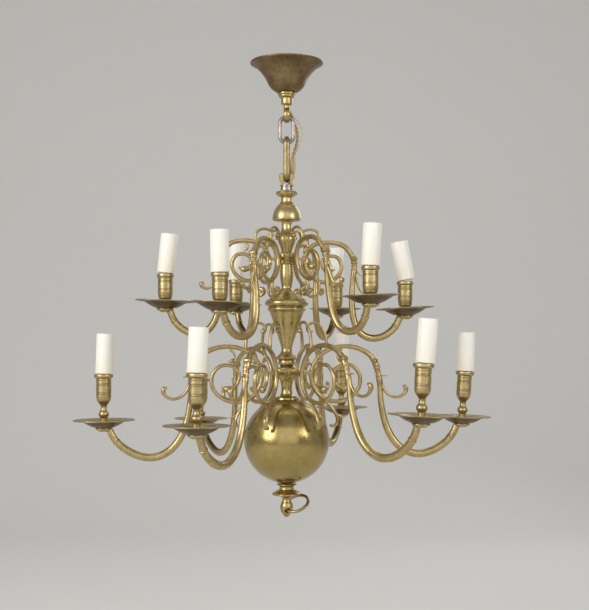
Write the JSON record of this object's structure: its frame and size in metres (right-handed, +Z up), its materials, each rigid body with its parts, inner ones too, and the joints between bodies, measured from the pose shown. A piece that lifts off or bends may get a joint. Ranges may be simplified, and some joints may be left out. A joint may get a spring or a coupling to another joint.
{
  "type": "brass chandelier",
  "caption": "Two-tier brass chandelier with scrolled arms, drip pans and candle sleeves round a turned stem, hung by a short chain from a ceiling cup.",
  "frame": {"origin": "middle of the top of the strap bar of the ceiling hook, on the ceiling plane and on the axis of the stem", "axes": "+Z up out of the ceiling face, +X to the right and -Y to the front as in the picture"},
  "size_m": [0.6189, 0.5814, 0.6776],
  "materials": {
    "brass": "satin, aged, polished on the bulges",
    "dark_brass": "dark antique, satin",
    "steel": "dull steel",
    "ivory_plastic": "smooth, slightly satin",
    "flex": "twisted gold textile flex"
  },
  "bodies": {
    "canopy": {"ceiling_cup": "dark_brass", "ceiling_hook": "brass", "power_cable": "flex"},
    "link_upper": {"chain_link_upper": "steel"},
    "link_lower": {"chain_link_lower": "brass"},
    "chandelier": {"stem_loop": "steel", "crown_bell": "brass", "upper_baluster": "brass", "centre_baluster": "brass", "ball_globe": "brass", "bottom_finial": "brass", "upper_arm_left": "brass", "upper_drip_pan_left": "brass", "upper_candle_socket_left": "brass", "upper_arm_left_front": "brass", "upper_drip_pan_left_front": "brass", "upper_candle_socket_left_front": "brass", "upper_arm_right_front": "brass", "upper_drip_pan_right_front": "brass", "upper_candle_socket_right_front": "brass", "upper_arm_right": "brass", "upper_drip_pan_right": "brass", "upper_candle_socket_right": "brass", "upper_arm_right_back": "brass", "upper_drip_pan_right_back": "brass", "upper_candle_socket_right_back": "brass", "upper_arm_left_back": "brass", "upper_drip_pan_left_back": "brass", "upper_candle_socket_left_back": "brass", "lower_arm_left": "brass", "lower_drip_pan_left": "brass", "lower_candle_socket_left": "brass", "lower_arm_left_front": "brass", "lower_drip_pan_left_front": "brass", "lower_candle_socket_left_front": "brass", "lower_arm_right_front": "brass", "lower_drip_pan_right_front": "brass", "lower_candle_socket_right_front": "brass", "lower_arm_right": "brass", "lower_drip_pan_right": "brass", "lower_candle_socket_right": "brass", "lower_arm_right_back": "brass", "lower_drip_pan_right_back": "brass", "lower_candle_socket_right_back": "brass", "lower_arm_left_back": "brass", "lower_drip_pan_left_back": "brass", "lower_candle_socket_left_back": "brass"},
    "ring": {"pull_ring": "brass"},
    "upper_candle_left": {"upper_candle_sleeve_left": "ivory_plastic"},
    "upper_candle_left_front": {"upper_candle_sleeve_left_front": "ivory_plastic"},
    "upper_candle_right_front": {"upper_candle_sleeve_right_front": "ivory_plastic"},
    "upper_candle_right": {"upper_candle_sleeve_right": "ivory_plastic"},
    "upper_candle_right_back": {"upper_candle_sleeve_right_back": "ivory_plastic"},
    "upper_candle_left_back": {"upper_candle_sleeve_left_back": "ivory_plastic"},
    "lower_candle_left": {"lower_candle_sleeve_left": "ivory_plastic"},
    "lower_candle_left_front": {"lower_candle_sleeve_left_front": "ivory_plastic"},
    "lower_candle_right_front": {"lower_candle_sleeve_right_front": "ivory_plastic"},
    "lower_candle_right": {"lower_candle_sleeve_right": "ivory_plastic"},
    "lower_candle_right_back": {"lower_candle_sleeve_right_back": "ivory_plastic"},
    "lower_candle_left_back": {"lower_candle_sleeve_left_back": "ivory_plastic"}
  },
  "joints": [
    {"name": "upper_link_swing", "type": "hinge", "parent": "canopy", "child": "link_upper", "pos_m": [0, 0, -0.0831], "axis": [1, 0, 0], "range_deg": [-20, 20], "deforming": ["power_cable"]},
    {"name": "lower_link_swing", "type": "hinge", "parent": "link_upper", "child": "link_lower", "pos_m": [0, 0, -0.1152], "axis": [0, 1, 0], "range_deg": [-20, 20]},
    {"name": "chandelier_swing", "type": "hinge", "parent": "link_lower", "child": "chandelier", "pos_m": [0, 0, -0.1725], "axis": [1, 0, 0], "range_deg": [-20, 20]},
    {"name": "pull_ring_swing", "type": "hinge", "parent": "chandelier", "child": "ring", "pos_m": [0, 0, -0.6635], "axis": [-0.1701, 0.8605, 0.4803], "range_deg": [0, 140]},
    {"name": "upper_candle_lift_left", "type": "slide", "parent": "chandelier", "child": "upper_candle_left", "axis": [0.1028, 0, 0.9947], "range_m": [0, 0.05]},
    {"name": "upper_candle_lift_left_front", "type": "slide", "parent": "chandelier", "child": "upper_candle_left_front", "axis": [-0.0192, 0, 0.9998], "range_m": [0, 0.05]},
    {"name": "upper_candle_lift_right_front", "type": "slide", "parent": "chandelier", "child": "upper_candle_right_front", "axis": [0.0488, 0, 0.9988], "range_m": [0, 0.05]},
    {"name": "upper_candle_lift_right", "type": "slide", "parent": "chandelier", "child": "upper_candle_right", "axis": [-0.1874, 0, 0.9823], "range_m": [0, 0.05]},
    {"name": "upper_candle_lift_right_back", "type": "slide", "parent": "chandelier", "child": "upper_candle_right_back", "axis": [0, 0, 1], "range_m": [0, 0.05]},
    {"name": "upper_candle_lift_left_back", "type": "slide", "parent": "chandelier", "child": "upper_candle_left_back", "axis": [0, 0, 1], "range_m": [0, 0.05]},
    {"name": "lower_candle_lift_left", "type": "slide", "parent": "chandelier", "child": "lower_candle_left", "axis": [0.0297, 0, 0.9996], "range_m": [0, 0.05]},
    {"name": "lower_candle_lift_left_front", "type": "slide", "parent": "chandelier", "child": "lower_candle_left_front", "axis": [0.0454, 0, 0.999], "range_m": [0, 0.05]},
    {"name": "lower_candle_lift_right_front", "type": "slide", "parent": "chandelier", "child": "lower_candle_right_front", "axis": [0.0802, 0, 0.9968], "range_m": [0, 0.05]},
    {"name": "lower_candle_lift_right", "type": "slide", "parent": "chandelier", "child": "lower_candle_right", "axis": [0.0314, 0, 0.9995], "range_m": [0, 0.05]},
    {"name": "lower_candle_lift_right_back", "type": "slide", "parent": "chandelier", "child": "lower_candle_right_back", "axis": [0, 0, 1], "range_m": [0, 0.05]},
    {"name": "lower_candle_lift_left_back", "type": "slide", "parent": "chandelier", "child": "lower_candle_left_back", "axis": [0, 0, 1], "range_m": [0, 0.05]}
  ]
}
